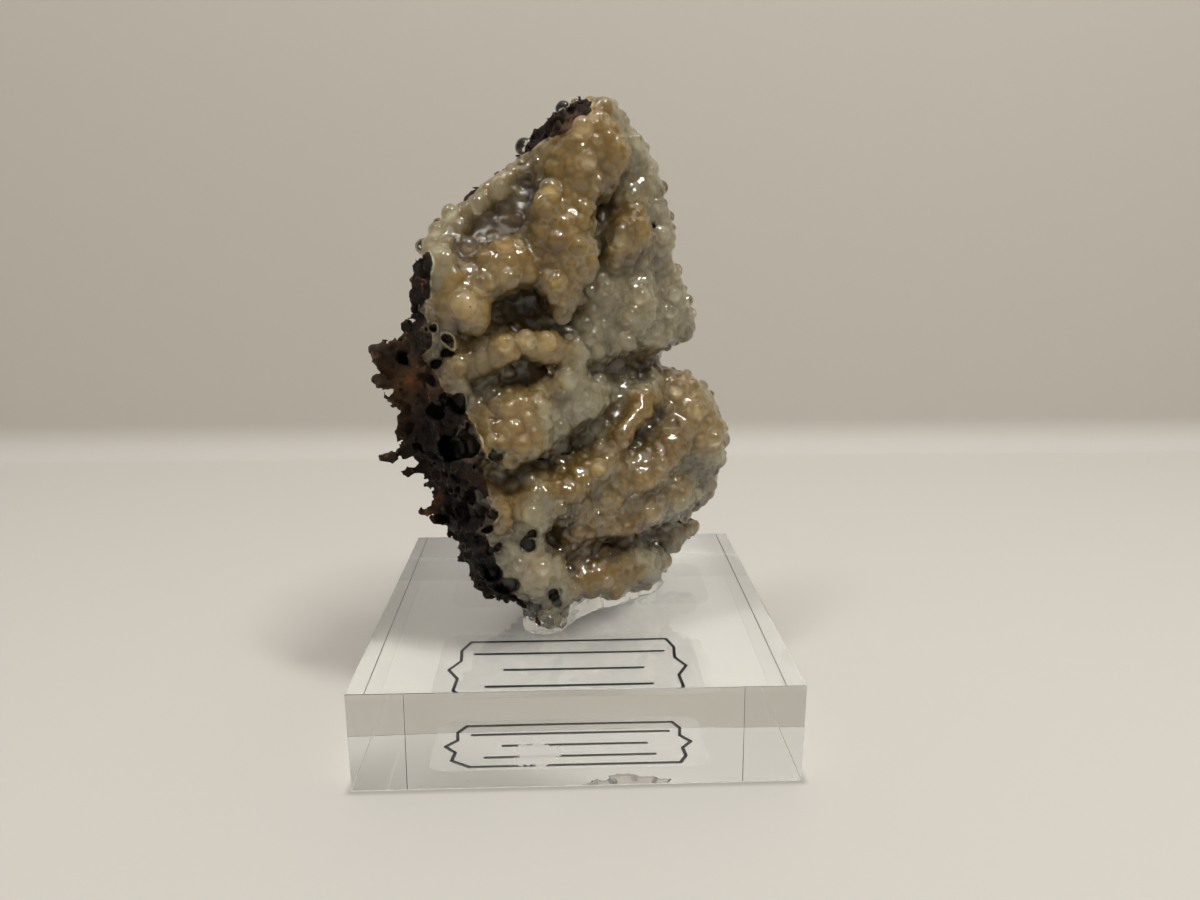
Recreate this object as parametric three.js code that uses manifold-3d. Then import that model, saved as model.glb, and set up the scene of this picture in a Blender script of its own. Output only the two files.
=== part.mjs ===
// A smithsonite specimen glued upright on a clear acrylic block with two labels stuck under it.
// Millimetres, +Z up. The origin is the centre of the underside.
import * as THREE from 'three';
import { MarchingCubes } from 'three/addons/objects/MarchingCubes.js';
import { mergeVertices } from 'three/addons/utils/BufferGeometryUtils.js';
import Module from 'manifold-3d';

const wasm = await Module();
wasm.setup();

// ---- driving dimensions -------------------------------------------------------------------

const BLOCK_SIDE = 50.8;
const BLOCK_HEIGHT = 12;
const BLOCK_EDGE = 0.35;          // polished bevel round the block
const LABEL_THICK = 0.1;          // films stuck on the underside
const CLEARANCE = 0.3;            // between the stone and the block
const GLUE_GAP = 0.45;            // between the stone and the glue round it

// The specimen is a crusted plate of matrix that stands on edge. Its own frame has X along the
// plate, Y back through it and Z up, and starts at the tip of its foot on the block.
const FOOT = [-3.9, -10.2];
const PLATE_TURN = THREE.MathUtils.degToRad(30);
const PLATE_FRONT = 5;            // depth of the crust's floor between its ridges
const PLATE_BACK = 12.5;
const BLEND = 0.9;                // radius that runs one lobe into the next
const CELL = 1.65;                // facet size of the stone
const BEAD_PITCH = 4.7;           // spacing of the beads that cover the crust
const STONE_FRONT = -6;           // clear of the stone in front of it and to its right
const STONE_RIGHT = 36;

// ---- solids by name -----------------------------------------------------------------------

function toSolid(geometry) {
  const plain = geometry.clone();
  plain.deleteAttribute('normal');
  plain.deleteAttribute('uv');
  const merged = mergeVertices(plain, 1e-3);
  return new wasm.Manifold(new wasm.Mesh({
    numProp: 3,
    vertProperties: new Float32Array(merged.attributes.position.array),
    triVerts: new Uint32Array(merged.index.array),
  }));
}

function toGeometry(solid) {
  const mesh = solid.getMesh();
  const geometry = new THREE.BufferGeometry();
  geometry.setAttribute('position', new THREE.BufferAttribute(mesh.vertProperties, 3));
  geometry.setIndex(new THREE.BufferAttribute(mesh.triVerts, 1));
  geometry.computeVertexNormals();
  return geometry;
}

// A repeatable series of numbers from 0 to 1, so that the beads fall unevenly but always alike.
function series(seed) {
  const factor = 16807;
  const modulus = 2 ** 31 - 1;
  let state = seed;
  return () => {
    state = (state * factor) % modulus;
    return state / modulus;
  };
}

// ---- the plate's outline ------------------------------------------------------------------

// Stations round the plate, each [x, z] at its front and [x, z] at its back. The broken left
// edge stands square to the plate below z 37 and is undercut above it.
const OUTLINE = [
  [9.8, 63.4, 10, 62], [12.6, 61.6, 13.4, 60.4], [15.6, 57.5, 17.4, 57], [18.4, 52, 20.4, 51.5],
  [20.8, 45, 22.5, 44.5], [22.8, 39.5, 24.5, 39], [23.8, 35.4, 25, 34.8], [20.3, 31.2, 22, 30.8],
  [24.5, 28.6, 25.5, 27.5], [28.8, 23.5, 29.4, 22.5], [29, 15.5, 29.6, 14], [25.6, 10.4, 26.4, 9],
  [20.4, 6.6, 21.4, 5.2], [18.2, 2.4, 17.6, 2.2], [11.5, 1.8, 11.5, 1.8], [6.5, 2.4, 7, 1.8],
  [2.4, 1.7, 3.5, 1.6], [-3, 3.6, 0, 3], [-6.2, 7.4, -4.4, 5.4], [-8.6, 12.6, -7.6, 10.4],
  [-9.6, 19, -9.6, 18.4], [-11.6, 24.6, -13, 23.6], [-11.8, 29.6, -13, 29.6],
  [-13.2, 35.4, -15, 35], [-11.6, 39.6, -9, 39.5], [-11.2, 44, -8, 44], [-10.5, 48, -7, 48.2],
  [-5.5, 52, -3.5, 52.5], [0.5, 56, 2, 56], [3.5, 59.6, 5, 59.4],
];

// Distance from a point to a closed outline, negative inside it.
function outlineDistance(x, z, corners) {
  let nearest = Infinity;
  let inside = false;
  corners.forEach(([ax, az], i) => {
    const [bx, bz] = corners[(i + 1) % corners.length];
    const ex = bx - ax;
    const ez = bz - az;
    const along = THREE.MathUtils.clamp(((x - ax) * ex + (z - az) * ez) / (ex * ex + ez * ez), 0, 1);
    nearest = Math.min(nearest, Math.hypot(x - ax - along * ex, z - az - along * ez));
    if ((az > z) !== (bz > z) && x < ax + ((z - az) / ez) * ex) inside = !inside;
  });
  return inside ? -nearest : nearest;
}

function plateDistance(x, y, z) {
  const t = THREE.MathUtils.clamp((y - PLATE_FRONT) / (PLATE_BACK - PLATE_FRONT), -0.5, 1);
  const corners = OUTLINE.map(([fx, fz, bx, bz]) => [fx + t * (bx - fx), fz + t * (bz - fz)]);
  const thinFoot = 4.5 * Math.max(0, 1 - z / 12);
  const thinHead = 3 * Math.max(0, (z - 50) / 13);
  const broken = 0.8 * Math.sin(0.5 * x + 0.31 * z) + 0.6 * Math.sin(0.83 * z - 0.37 * x + 1)
    + 0.4 * Math.sin(1.3 * x + 1.1 * z + 2);
  const back = PLATE_BACK - thinFoot - thinHead + broken;
  return Math.max(outlineDistance(x, z, corners), PLATE_FRONT - y, y - back);
}

// ---- the crust's lobes, ridges and recesses -----------------------------------------------

// Rounded lobes: [x, y, z] of the middle and [x, y, z] half sizes.
const LOBES = [
  [[9, 2.5, 57.6], [6.3, 4.5, 6.1]],        // crown
  [[11, 5.5, 60], [3.9, 3.8, 3.3]],
  [[13.6, 4.5, 55.8], [3, 4, 4.4]],
  [[15.5, 6, 38.5], [6.5, 4, 5.4]],         // low field right of the middle
  [[14.8, 4, 33], [3, 3, 2.3]],
  [[-8, 3, 38.6], [3.7, 3.6, 3.6]],         // left dome
  [[-10.4, 4.6, 42], [3.2, 3, 4.4]],
  [[-2.8, 1.5, 25.8], [4.3, 4, 5.3]],       // lower left lobe
  [[-5, 3.8, 22], [2.2, 2, 2.2]],
  [[5.4, 2.5, 25.6], [3.9, 3.7, 3.7]],      // cluster in the middle
  [[3.4, 2.5, 29.6], [3.3, 3.3, 3]],
  [[7.4, 3, 28.6], [3.3, 3.3, 3.2]],
  [[13, 4.6, 28.4], [3.4, 2.6, 3.4]],
  [[19, 4, 25.5], [2.4, 3, 3.6]],
  [[25.5, 4.5, 22.6], [6, 4.5, 7.9]],         // big right lobe
  [[26.2, 5, 15], [3.8, 4, 4.8]],
  [[12.2, 4.8, 5.2], [8.6, 3.8, 3.1]],      // bottom lobe
  [[-0.9, 3, 9.3], [5, 3.6, 5.9]],          // glassy tongue above the foot
  [[0.8, 0.6, 2.2], [2.4, 2.6, 2.4]],       // foot
  [[-1, 0.4, 16.4], [2.7, 2.7, 2.5]],
];

// Ridges: a radius and the points along the crest, each [x, y, z].
const RIDGES = [
  [4.1, [5, 1.6, 54], [3, 1.6, 48]],                                        // neck
  [3.8, [5.6, 0.2, 46.5], [1.4, -0.4, 41.2]],                               // overhanging knob
  [3.4, [-9.5, 3, 45], [-1, 2, 44.2]],                                      // left shoulder
  [3.6, [13.2, 3, 50.5], [13.2, 3, 44]],                                    // right column
  [2.7, [15.8, 6.4, 55.8], [18.6, 6.4, 49.6], [21.2, 6.4, 43], [23, 6.4, 37.8]],  // right edge
  [1.9, [-7.6, 6.4, 48.4], [-3.2, 6.4, 51.8], [1.4, 6.2, 55]],              // thin upper rim
  [3, [-10, 1.6, 34.5], [4.5, 1.5, 35.5]],                                  // middle ridge
  [2.8, [-4.5, 1.3, 16.9], [2.7, 1.2, 18.9], [8.7, 1.2, 21.4], [13.7, 1.4, 25.9], [16.8, 2, 29.7]],
  [3, [3.8, 1.5, 15.2], [10.9, 1.5, 16.8], [16.9, 1.5, 19.8], [20.9, 2, 21.8]],
  [3, [5.5, 2.6, 12.6], [13, 2.6, 12.8], [21.3, 3.6, 13]],                  // lower band
  [1.7, [19, 6.4, 7], [25.6, 8.4, 5.9]],                                    // lump at the lower right
  [2.8, [-5.4, 3.2, 8.6], [-7, 3, 14], [-7.8, 3, 20], [-8.3, 3, 25.5], [-9.5, 3.4, 31],
    [-10.8, 3.4, 35.5]],                                                    // broken left edge
];

// Recesses cut into the plate, written as ridges are.
const RECESSES = [
  [2.2, [-4.2, 4.4, 48.8], [2.6, 5, 52]],                               // behind the upper rim
  [1.9, [8.8, 3, 47.4], [9.8, 3.2, 51], [12, 3.6, 53.4]],               // right of the neck
  [2.1, [-3.4, 2.6, 40], [1.5, 3.6, 39.4], [7.5, 4, 37.9]],             // under the shoulder
  [1.8, [-5, 3.4, 30.6], [-1, 4, 31.6]],                                // under the middle ridge
  [1.6, [-1, 2.4, 20.8], [4.4, 3.2, 22], [9.4, 3.6, 25]],               // between the long ridges
  [1.5, [11.5, 3, 20.4], [15.4, 3.2, 23.6]],
  [2, [9, 4.2, 8.9], [22.5, 5, 8.6]],                                   // above the bottom lobe
];

function lobeDistance(x, y, z, [middle, half]) {
  const across = (x - middle[0]) / half[0];
  const deep = (y - middle[1]) / half[1];
  const up = (z - middle[2]) / half[2];
  return (Math.hypot(across, deep, up) - 1) * Math.min(...half);
}

const here = new THREE.Vector3();
const nearestPoint = new THREE.Vector3();

function ridgeDistance(x, y, z, [radius, ...crest]) {
  here.set(x, y, z);
  let nearest = Infinity;
  for (let i = 1; i < crest.length; i += 1) {
    const stretch = new THREE.Line3(new THREE.Vector3(...crest[i - 1]), new THREE.Vector3(...crest[i]));
    stretch.closestPointToPoint(here, true, nearestPoint);
    nearest = Math.min(nearest, nearestPoint.distanceTo(here));
  }
  return nearest - radius;
}

function blended(a, b) {
  const mix = Math.max(BLEND - Math.abs(a - b), 0) / BLEND;
  return Math.min(a, b) - (mix * mix * BLEND) / 4;
}

// Distance to the stone's main forms, negative inside them.
function formDistance(x, y, z) {
  let distance = plateDistance(x, y, z);
  for (const lobe of LOBES) distance = blended(distance, lobeDistance(x, y, z, lobe));
  for (const ridge of RIDGES) distance = blended(distance, ridgeDistance(x, y, z, ridge));
  for (const recess of RECESSES) distance = -blended(-distance, ridgeDistance(x, y, z, recess));
  return distance;
}

// ---- beads, pits and points ---------------------------------------------------------------

// The first point of the main forms met from a start along a direction, or null.
function seat(start, direction, reach) {
  const step = 0.25;
  for (let travel = 0; travel < reach; travel += step) {
    const point = start.map((value, axis) => value + direction[axis] * travel);
    if (formDistance(...point) < 0) return point;
  }
  return null;
}

// Beads of the crust sit on its front in uneven rows, and down its right edge: radius, place.
function beads() {
  const next = series(11);
  const uneven = (size) => size * (next() - 0.5);
  const sunk = 0.45;                      // share of its radius that a bead is sunk by
  const [left, bottom, width, height] = [-15, 3, 48, 60];
  const rowPitch = 0.87 * BEAD_PITCH;
  const list = [];
  for (let row = 0; row * rowPitch < height; row += 1) {
    for (let column = 0; column * BEAD_PITCH < width; column += 1) {
      const x = left + (column + 0.5 * (row % 2)) * BEAD_PITCH + uneven(1.8);
      const z = bottom + row * rowPitch + uneven(1.8);
      const radius = 2.2 + 0.8 * next();
      const onCrust = x > Math.min(-7, -4 - z / 8) && formDistance(x, PLATE_FRONT + 2, z) < -1.5;
      const point = onCrust ? seat([x, STONE_FRONT, z], [0, 1, 0], 14) : null;
      const onRidge = point && point[1] < PLATE_FRONT - 0.8;
      if (onRidge) list.push([radius, [point[0], point[1] + sunk * radius, point[2]]]);
    }
  }
  for (let z = 14; z < 60; z += 0.8 * BEAD_PITCH) {
    const point = seat([STONE_RIGHT, 4 + 5 * next(), z], [-1, 0, 0], 24);
    const radius = 1.7 + 0.7 * next();
    if (point) list.push([radius, [point[0] - sunk * radius, point[1], point[2]]]);
  }
  return list;
}

// Round pits through the crust and the matrix: [radius, [x, y, z]].
const PITS = [
  [2.4, [-10.6, 1.2, 25.6]], [1.6, [-9.2, 1, 29.4]], [1.5, [-6.2, -0.4, 22.6]],
  [1.9, [-9.3, 1, 16.8]], [1.5, [-9.8, 2, 20.6]], [1.7, [-2, -0.6, 12.2]],
  [1.6, [-6.4, 1, 8.4]], [1.5, [-3.6, 0.6, 5.6]], [1.2, [1.6, -1.4, 3.4]],
  [1.9, [-11.8, 1.6, 35]], [2.2, [-13.6, 8, 28.4]], [2.4, [-10, 7, 16]],
  [3.4, [4, 13.6, 22]], [2.8, [14, 13.2, 32]], [3, [1, 13, 40]], [2.4, [19, 13.8, 20]],
  [2.6, [11, 12.8, 47]], [2.2, [9, 12, 12]], [2, [-6, 13.4, 31]],
];

// Blunt broken points that stand out of the left edge: [x, y, z] of the root, then of the tip.
const POINTS = [
  [[-11, 9.6, 35], [-15.6, 10.8, 35.3]], [[-11, 9, 31.5], [-15, 10.3, 31]],
  [[-10, 9.6, 24], [-14.3, 10.4, 24]], [[-10, 10, 27.4], [-13.4, 10.5, 27]],
  [[-8, 9.5, 19.6], [-10.8, 10.4, 19]], [[-6, 9.6, 14], [-9.4, 10.5, 13.4]],
  [[-4, 8, 10], [-7.6, 9, 8.8]], [[-10, 4, 36.5], [-13.2, 4, 37.6]],
  [[-3, 6, 6], [-5.8, 6.4, 4.9]],
];
const POINT_RADIUS = 1.4;

// Distance to the whole stone: its forms and points with the beads on and the pits out.
function stoneDistance(x, y, z, beadList) {
  let distance = formDistance(x, y, z);
  for (const point of POINTS) {
    distance = blended(distance, ridgeDistance(x, y, z, [POINT_RADIUS, ...point]));
  }
  for (const [radius, [bx, by, bz]] of beadList) {
    distance = blended(distance, Math.hypot(x - bx, y - by, z - bz) - radius);
  }
  for (const [radius, [px, py, pz]] of PITS) {
    distance = Math.max(distance, radius - Math.hypot(x - px, y - py, z - pz));
  }
  return Math.max(distance, CLEARANCE - z);
}

// The stone as a faceted solid, grown all round by an amount. Values close to zero are pushed
// away from it, so that no facet is a sliver.
function stoneSolid(grown = 0) {
  const beadList = beads();
  const middle = [8, 4, 32];
  const reach = [28, 14, 36];             // half the room that the stone needs
  const count = 64;                       // a power of two, so that shared corners agree exactly
  const mostFacets = 14000;
  const cubes = new MarchingCubes(count, new THREE.Material(), false, false, mostFacets);
  cubes.isolation = 0;
  cubes.field.fill(-CELL);
  const leastValue = 0.1 * CELL;
  const place = (index, axis) => middle[axis] + (index - count / 2) * CELL;
  for (let k = 0; k < count; k += 1) {
    for (let j = 0; j < count; j += 1) {
      for (let i = 0; i < count; i += 1) {
        const point = [place(i, 0), place(j, 1), place(k, 2)];
        if (point.every((value, axis) => Math.abs(value - middle[axis]) < reach[axis])) {
          const depth = grown - stoneDistance(...point, beadList);
          const value = Math.sign(depth || 1) * Math.max(Math.abs(depth), leastValue);
          cubes.field[i + j * cubes.yd + k * cubes.zd] = value;
        }
      }
    }
  }
  cubes.update();
  const geometry = new THREE.BufferGeometry();
  const corners = cubes.positionArray.slice(0, cubes.count * 3);
  geometry.setAttribute('position', new THREE.BufferAttribute(corners, 3));
  const scale = (count / 2) * CELL;
  geometry.scale(scale, scale, scale).translate(...middle);
  return toSolid(geometry);
}

// ---- the glue under the stone -------------------------------------------------------------

// Low rounds of set glue that run together under the stone: [x, y] of the middle, [x, y] half
// sizes and the height, in the stone's own frame.
const GLUE_ROUNDS = [
  [[3.4, 3.6], [4.2, 4.4], 2.6], [[9.6, 6.4], [6.4, 4.8], 3.4], [[16.2, 7.6], [6.6, 4.6], 3.2],
];

function glueSolid() {
  let glue = null;
  for (const [middle, half, height] of GLUE_ROUNDS) {
    const round = new THREE.IcosahedronGeometry(1, 2).scale(half[0], half[1], height);
    const solid = toSolid(round.translate(middle[0], middle[1], 0));
    glue = glue ? glue.add(solid) : solid;
  }
  const reach = 80;
  const underBlockTop = new THREE.BoxGeometry(reach, reach, reach).translate(0, 0, -reach / 2);
  glue = glue.subtract(toSolid(underBlockTop));
  return glue.subtract(stoneSolid(GLUE_GAP));
}

// ---- the block and its labels -------------------------------------------------------------

function roundedRectangle([left, right], [near, far], radius) {
  const shape = new THREE.Shape();
  shape.absarc(right - radius, far - radius, radius, 0, Math.PI / 2);
  shape.absarc(left + radius, far - radius, radius, Math.PI / 2, Math.PI);
  shape.absarc(left + radius, near + radius, radius, Math.PI, Math.PI * 1.5);
  shape.absarc(right - radius, near + radius, radius, Math.PI * 1.5, Math.PI * 2);
  return shape;
}

function blockGeometry() {
  const half = BLOCK_SIDE / 2 - BLOCK_EDGE;
  const square = new THREE.Shape([[-1, -1], [1, -1], [1, 1], [-1, 1]].map(
    ([x, y]) => new THREE.Vector2(x * half, y * half),
  ));
  const geometry = new THREE.ExtrudeGeometry(square, {
    depth: BLOCK_HEIGHT - LABEL_THICK - 2 * BLOCK_EDGE,
    bevelThickness: BLOCK_EDGE, bevelSize: BLOCK_EDGE, bevelSegments: 1,
  });
  return geometry.translate(0, 0, LABEL_THICK + BLOCK_EDGE);
}

function labelGeometry(across, deep, corner) {
  const settings = { depth: LABEL_THICK, bevelEnabled: false, curveSegments: 5 };
  return new THREE.ExtrudeGeometry(roundedRectangle(across, deep, corner), settings);
}

// ---- the specimen -------------------------------------------------------------------------

const FINISH = {
  stone: new THREE.MeshStandardMaterial({ color: '#a89a7c', roughness: 0.3, metalness: 0 }),
  clear: new THREE.MeshStandardMaterial({
    color: '#e9edf0', roughness: 0.05, metalness: 0, transparent: true, opacity: 0.35,
  }),
  glue: new THREE.MeshStandardMaterial({
    color: '#f2f4f4', roughness: 0.08, metalness: 0, transparent: true, opacity: 0.4,
  }),
  film: new THREE.MeshStandardMaterial({ color: '#d9dadb', roughness: 0.5, metalness: 0 }),
};

const specimen = new THREE.Group();

function piece(name, geometry, material, holder = specimen) {
  const mesh = new THREE.Mesh(geometry, material);
  mesh.name = name;
  holder.add(mesh);
}

const plate = new THREE.Group();
plate.position.set(FOOT[0], FOOT[1], BLOCK_HEIGHT);
plate.rotation.z = PLATE_TURN;
specimen.add(plate);

piece('smithsonite', toGeometry(stoneSolid()), FINISH.stone, plate);
piece('adhesive', toGeometry(glueSolid()), FINISH.glue, plate);
piece('acrylic_base', blockGeometry(), FINISH.clear);
piece('front_label', labelGeometry([-17.5, 15.5], [-19.8, -2.3], 2.5), FINISH.film);
piece('rear_label', labelGeometry([-18, 20], [6.5, 21.5], 2.5), FINISH.film);

export default specimen;
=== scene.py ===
"""A smithsonite specimen on a clear acrylic block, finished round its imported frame.

The stone is worked as a distance field: the frame's solid is smoothed, beads are grown on its crust,
pits and roughness are cut into its bare matrix, and the skin of the result is one closed mesh.
"""
import math

import bmesh
import bpy
import numpy as np
import openvdb
from mathutils import Matrix, Vector


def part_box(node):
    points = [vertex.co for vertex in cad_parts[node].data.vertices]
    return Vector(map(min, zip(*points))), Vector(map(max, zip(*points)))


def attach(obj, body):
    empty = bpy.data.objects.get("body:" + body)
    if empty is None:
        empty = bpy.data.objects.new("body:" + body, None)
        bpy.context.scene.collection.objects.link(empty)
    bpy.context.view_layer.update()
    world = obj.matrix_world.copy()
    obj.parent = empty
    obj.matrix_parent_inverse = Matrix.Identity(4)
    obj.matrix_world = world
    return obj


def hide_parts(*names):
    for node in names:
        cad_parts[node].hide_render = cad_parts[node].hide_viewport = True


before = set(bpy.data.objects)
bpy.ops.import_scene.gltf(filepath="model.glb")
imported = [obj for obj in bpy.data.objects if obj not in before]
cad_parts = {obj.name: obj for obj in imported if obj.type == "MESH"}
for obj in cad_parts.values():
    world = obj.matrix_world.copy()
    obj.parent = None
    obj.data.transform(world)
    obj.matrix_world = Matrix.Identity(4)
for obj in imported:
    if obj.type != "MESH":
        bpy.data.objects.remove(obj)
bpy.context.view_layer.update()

MM = 0.001

# ---- the stone's own frame, in millimetres, as the frame's solid was made ---------------------

FOOT = (-3.9, -10.2)                # where the plate's foot stands on the block
PLATE_TURN = math.radians(30)
BLOCK_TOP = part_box("acrylic_base")[1].z / MM
FROM_PLATE = (
    Matrix.Scale(MM, 4)
    @ Matrix.Translation((*FOOT, BLOCK_TOP))
    @ Matrix.Rotation(PLATE_TURN, 4, "Z")
)
TO_PLATE = FROM_PLATE.inverted()

# The viewpoint that the specimen is set up for, in the block's frame, in millimetres.
EYE = (-1.1, -112.8, 60.8)
EYE_TURN = math.radians(-2.3)
EYE_PITCH = math.radians(13.93)
EYE_LENS = 26.43

CELL = 0.24          # spacing of the field's samples
BAND = 3.0                                   # depth to which the field is kept
MARGIN = 1.6                                 # room round the solid
MOST_FACES = 196_000


class Lattice:
    """Sample points on a cubic lattice over the stone, in the plate's frame."""

    def __init__(self, low, high):
        self.first = np.floor((np.array(low) - MARGIN) / CELL).astype(int)
        self.last = np.ceil((np.array(high) + MARGIN) / CELL).astype(int)
        self.shape = tuple(self.last - self.first + 1)

    def axes(self):
        """The x, y and z of the samples, each shaped to spread over the lattice."""
        lines = [np.arange(n) * CELL + f * CELL for n, f in zip(self.shape, self.first)]
        return lines[0][:, None, None], lines[1][None, :, None], lines[2][None, None, :]

    def window(self, middle, reach):
        """The slices of the lattice within reach of a point, and the offsets from it there."""
        slices, offsets = [], []
        for axis in range(3):
            low = int(math.floor((middle[axis] - reach[axis]) / CELL)) - self.first[axis]
            high = int(math.ceil((middle[axis] + reach[axis]) / CELL)) - self.first[axis] + 1
            low, high = max(low, 0), min(high, self.shape[axis])
            slices.append(slice(low, max(high, low)))
            line = (np.arange(low, max(high, low)) + self.first[axis]) * CELL - middle[axis]
            offsets.append(line.reshape([-1 if a == axis else 1 for a in range(3)]))
        return tuple(slices), offsets

    def read(self, values, points):
        """The field's values at points, from the eight samples round each."""
        place = np.asarray(points) / CELL - self.first
        place = np.clip(place, 0, np.array(self.shape) - 1.001)
        corner = place.astype(int)
        part = place - corner
        total = 0
        for step in np.ndindex(2, 2, 2):
            share = np.prod(np.where(step, part, 1 - part), axis=1)
            i, j, k = (corner + step).T
            total = total + share * values[i, j, k]
        return total

    def noise(self, seed, size):
        """Smooth noise from -1 to 1, with lumps of a size in millimetres."""
        chance = np.random.RandomState(seed)
        steps = [np.arange(n) * CELL / size for n in self.shape]
        coarse = chance.uniform(-1, 1, [int(s[-1]) + 2 for s in steps]).astype(np.float32)
        for axis, line in enumerate(steps):
            whole = line.astype(int)
            part = line - whole
            part = (part * part * (3 - 2 * part)).astype(np.float32)
            part = part.reshape([-1 if a == axis else 1 for a in range(3)])
            low, high = np.take(coarse, whole, axis), np.take(coarse, whole + 1, axis)
            coarse = low + (high - low) * part
        return coarse


def blurred(values, spread):
    """Values averaged over a bell of a spread in millimetres."""
    reach = int(math.ceil(2.4 * spread / CELL))
    weights = np.exp(-0.5 * (np.arange(-reach, reach + 1) * CELL / spread) ** 2)
    weights = (weights / weights.sum()).astype(np.float32)
    for axis in range(3):
        edges = [(reach, reach) if a == axis else (0, 0) for a in range(3)]
        wide = np.pad(values, edges, mode="edge")
        count = values.shape[axis]
        parts = [slice(None)] * 3
        total = np.zeros_like(values)
        for step, weight in enumerate(weights):
            parts[axis] = slice(step, step + count)
            total += weight * wide[tuple(parts)]
        values = total
    return values


def eased(low, high, values):
    """0 below low and 1 above high, with a smooth step between."""
    share = np.clip((values - low) / (high - low), 0, 1)
    return share * share * (3 - 2 * share)


def joined(first, second, blend):
    """The union of two fields, run into each other over a blend."""
    mix = np.clip(blend - np.abs(first - second), 0, None) / blend
    return np.minimum(first, second) - mix * mix * blend / 4


def linked(name, data):
    """A new object in the scene."""
    piece = bpy.data.objects.new(name, data)
    bpy.context.collection.objects.link(piece)
    return piece


def read_off(rows, values):
    """The second number of rows, read between them at values of the first."""
    first, second = zip(*rows)
    return np.interp(values, first, second)


# ---- fields from meshes, and meshes from fields -----------------------------------------------

def field_of(points, triangles, quads, lattice):
    """The distance field of a closed skin, negative inside it."""
    grid = openvdb.FloatGrid.createLevelSetFromPolygons(
        points, triangles=triangles, quads=quads,
        transform=openvdb.createLinearTransform(voxelSize=CELL), halfWidth=BAND / CELL,
    )
    values = np.zeros(lattice.shape, np.float32)
    grid.copyToArray(values, ijk=tuple(int(i) for i in lattice.first))
    return values


def node_field(node, lattice):
    """The distance field of a node of the frame, negative inside it."""
    shell = bmesh.new()
    shell.from_mesh(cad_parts[node].data)
    bmesh.ops.remove_doubles(shell, verts=shell.verts, dist=1e-6)
    bmesh.ops.triangulate(shell, faces=shell.faces)
    bmesh.ops.transform(shell, matrix=TO_PLATE, verts=shell.verts)
    points = np.array([v.co for v in shell.verts], np.float32)
    corners = np.array([[v.index for v in f.verts] for f in shell.faces], np.uint32)
    shell.free()
    return field_of(points, corners, np.zeros((0, 4), np.uint32), lattice)


def plate_box(node):
    """Lowest and highest corner of a node in the plate's frame."""
    corners = np.array([TO_PLATE @ v.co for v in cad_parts[node].data.vertices])
    return corners.min(0), corners.max(0)


def skin_points(values, lattice):
    """The points and the faces of a field's skin, in the plate's frame."""
    grid = openvdb.FloatGrid(BAND)
    grid.copyFromArray(values, ijk=tuple(int(i) for i in lattice.first))
    grid.transform = openvdb.createLinearTransform(voxelSize=CELL)
    grid.gridClass = openvdb.GridClass.LEVEL_SET
    return grid.convertToPolygons(isovalue=0, adaptivity=0)


def largest_part(shell, least):
    """Drops the parts of a bmesh that have fewer vertices than least, but never the largest."""
    left = set(shell.verts)
    parts = []
    while left:
        front = [left.pop()]
        part = list(front)
        while front:
            near = {e.other_vert(v) for v in front for e in v.link_edges} & left
            left -= near
            front = list(near)
            part += front
        parts.append(part)
    parts.sort(key=len)
    loose = [v for part in parts[:-1] if len(part) < least for v in part]
    bmesh.ops.delete(shell, geom=loose, context="VERTS")


def skin_mesh(name, values, lattice, most_faces, least=math.inf):
    """A field's skin as one closed mesh object in the plate's frame, thinned to a face count."""
    points, triangles, quads = skin_points(values, lattice)
    mesh = bpy.data.meshes.new(name)
    mesh.from_pydata(points.tolist(), [], quads.tolist() + triangles.tolist())
    shell = bmesh.new()
    shell.from_mesh(mesh)
    largest_part(shell, least)
    bmesh.ops.triangulate(shell, faces=shell.faces)
    bmesh.ops.recalc_face_normals(shell, faces=shell.faces)
    shell.to_mesh(mesh)
    count = len(shell.faces)
    shell.free()
    piece = linked(name, mesh)
    if count > most_faces:
        thin = piece.modifiers.new("thin", "DECIMATE")
        thin.ratio = most_faces / count
        apply_modifiers(piece)
    return piece


def apply_modifiers(piece):
    """Makes what a piece's modifiers show its own mesh."""
    shown = piece.evaluated_get(bpy.context.evaluated_depsgraph_get())
    mesh = bpy.data.meshes.new_from_object(shown)
    piece.modifiers.clear()
    piece.data = mesh


def mesh_points(piece):
    """A piece's vertices as an array."""
    points = np.zeros(len(piece.data.vertices) * 3)
    piece.data.vertices.foreach_get("co", points)
    return points.reshape(-1, 3)


def note(piece, name, values):
    """Keeps one number per vertex on a piece, for its material."""
    attribute = piece.data.attributes.new(name, "FLOAT", "POINT")
    attribute.data.foreach_set("value", np.asarray(values, np.float32))


def settle(piece, matrix):
    """Puts a finished piece's place into its mesh, shades it smooth and lets it ride."""
    piece.data.transform(matrix)
    piece.data.polygons.foreach_set("use_smooth", [True] * len(piece.data.polygons))
    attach(piece, "root")


# ---- the stone --------------------------------------------------------------------------------
# Places on the stone are given as [u, v]: where the line of sight from the viewpoint crosses the
# plate's own plane, across the plate and up it. They are then found on the stone itself.

DIP = 0.1                         # how far the clear layer dips into the crust under it
GLAZE, GLAZE_FLOW = 0.2, 0.18    # thickness of the clear layer, and how far it levels creases
SMOOTHING = 0.9                   # takes off the frame's facets
SHRINK = 0.45                     # room left under the beads
FLOOR, FLOOR_LOW = 2.8, 2.2       # depth of the crust's floor between its swellings, and low down
SWELL_BLEND = 2.0                 # radius that runs one swelling into the next
UNCUT = -8                        # the floor's depth outside the crust, clear of the matrix
VALLEY_BLEND = 1.8
WANDER, WANDER_SIZE = 0.8, 3.6    # how far swellings stray from their plain course
FRAY, FRAY_SIZE = 0.55, 1.5       # the same for the edges of holes
VUG_TRIES, VUG_CLOSENESS = 9_000, 1.15        # points tried for vugs, and how close they stand
BEAD_TRIES, BEAD_CLOSENESS = 42_000, 0.8      # the same for the crust's beads
LARGER_TRIES = 6_000              # the first of them may grow larger beads
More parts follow.
